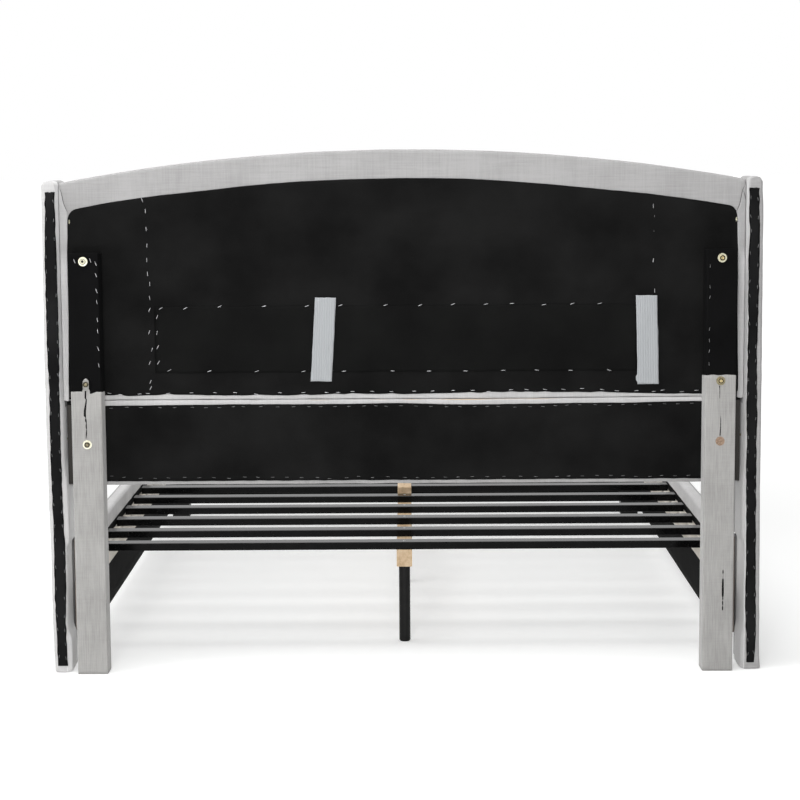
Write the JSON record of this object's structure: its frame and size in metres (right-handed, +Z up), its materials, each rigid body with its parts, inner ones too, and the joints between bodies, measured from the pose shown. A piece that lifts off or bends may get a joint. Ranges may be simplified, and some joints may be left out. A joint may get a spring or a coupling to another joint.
{
  "type": "upholstered platform bed",
  "caption": "Upholstered platform bed for a mattress for two, with an arched padded wingback headboard on posts, slats on ledgers and a centre beam on legs",
  "frame": {"origin": "on the floor, under the centre of the bed's outer box", "axes": "+X across the bed, +Y from the foot end to the headboard, +Z up"},
  "size_m": [1.694, 2.2128, 1.2438],
  "materials": {
    "grey_fabric": "matt woven upholstery cloth",
    "sleeve_fabric": "thin grey nonwoven sleeve",
    "black_wrap": "black nonwoven cloth",
    "black_lining": "thin black dust cloth",
    "strap_webbing": "ribbed webbing",
    "foam": "open-cell padding",
    "softwood": "planed, bare",
    "hardboard": "thin pressed board",
    "black_slat": "satin black",
    "black_plastic": "satin black",
    "brass_bolt": "passivated yellow",
    "zinc_steel": "zinc plated"
  },
  "bodies": {
    "root": {"upper_cover": "grey_fabric", "lower_cover": "grey_fabric", "wing_cover_right": "grey_fabric", "wing_cover_left": "grey_fabric", "rail_cover_right": "grey_fabric", "rail_cover_left": "grey_fabric", "foot_cover": "grey_fabric", "post_sleeve_right": "sleeve_fabric", "post_sleeve_left": "sleeve_fabric", "post_wrap_right": "black_wrap", "post_wrap_left": "black_wrap", "wing_strips": "black_wrap", "upper_dust_cover": "black_lining", "lower_dust_cover": "black_lining", "back_patch": "black_lining", "rail_linings": "black_lining", "foot_lining": "black_lining", "back_straps": "strap_webbing", "upper_pad": "foam", "post_right": "softwood", "post_left": "softwood", "upper_top_rail": "softwood", "upper_outer_stiles": "softwood", "upper_bottom_rail": "softwood", "upper_inner_stiles": "softwood", "upper_middle_rail": "softwood", "lower_core": "softwood", "wing_board_right": "softwood", "wing_board_left": "softwood", "rail_board_right": "softwood", "rail_board_left": "softwood", "foot_board": "softwood", "foot_blocks": "softwood", "ledger_right": "softwood", "ledger_left": "softwood", "beam_head": "softwood", "beam_foot": "softwood", "splice_block": "softwood", "upper_board": "hardboard", "slat_01": "black_slat", "slat_02": "black_slat", "slat_03": "black_slat", "slat_04": "black_slat", "slat_05": "black_slat", "slat_06": "black_slat", "slat_07": "black_slat", "slat_08": "black_slat", "slat_09": "black_slat", "slat_10": "black_slat", "slat_11": "black_slat", "centre_leg_head": "black_plastic", "centre_leg_middle": "black_plastic", "centre_leg_foot": "black_plastic", "foot_legs": "black_plastic", "post_bolts": "brass_bolt", "post_washers": "brass_bolt", "wing_bolts": "brass_bolt", "rail_angles": "zinc_steel"}
  },
  "joints": []
}
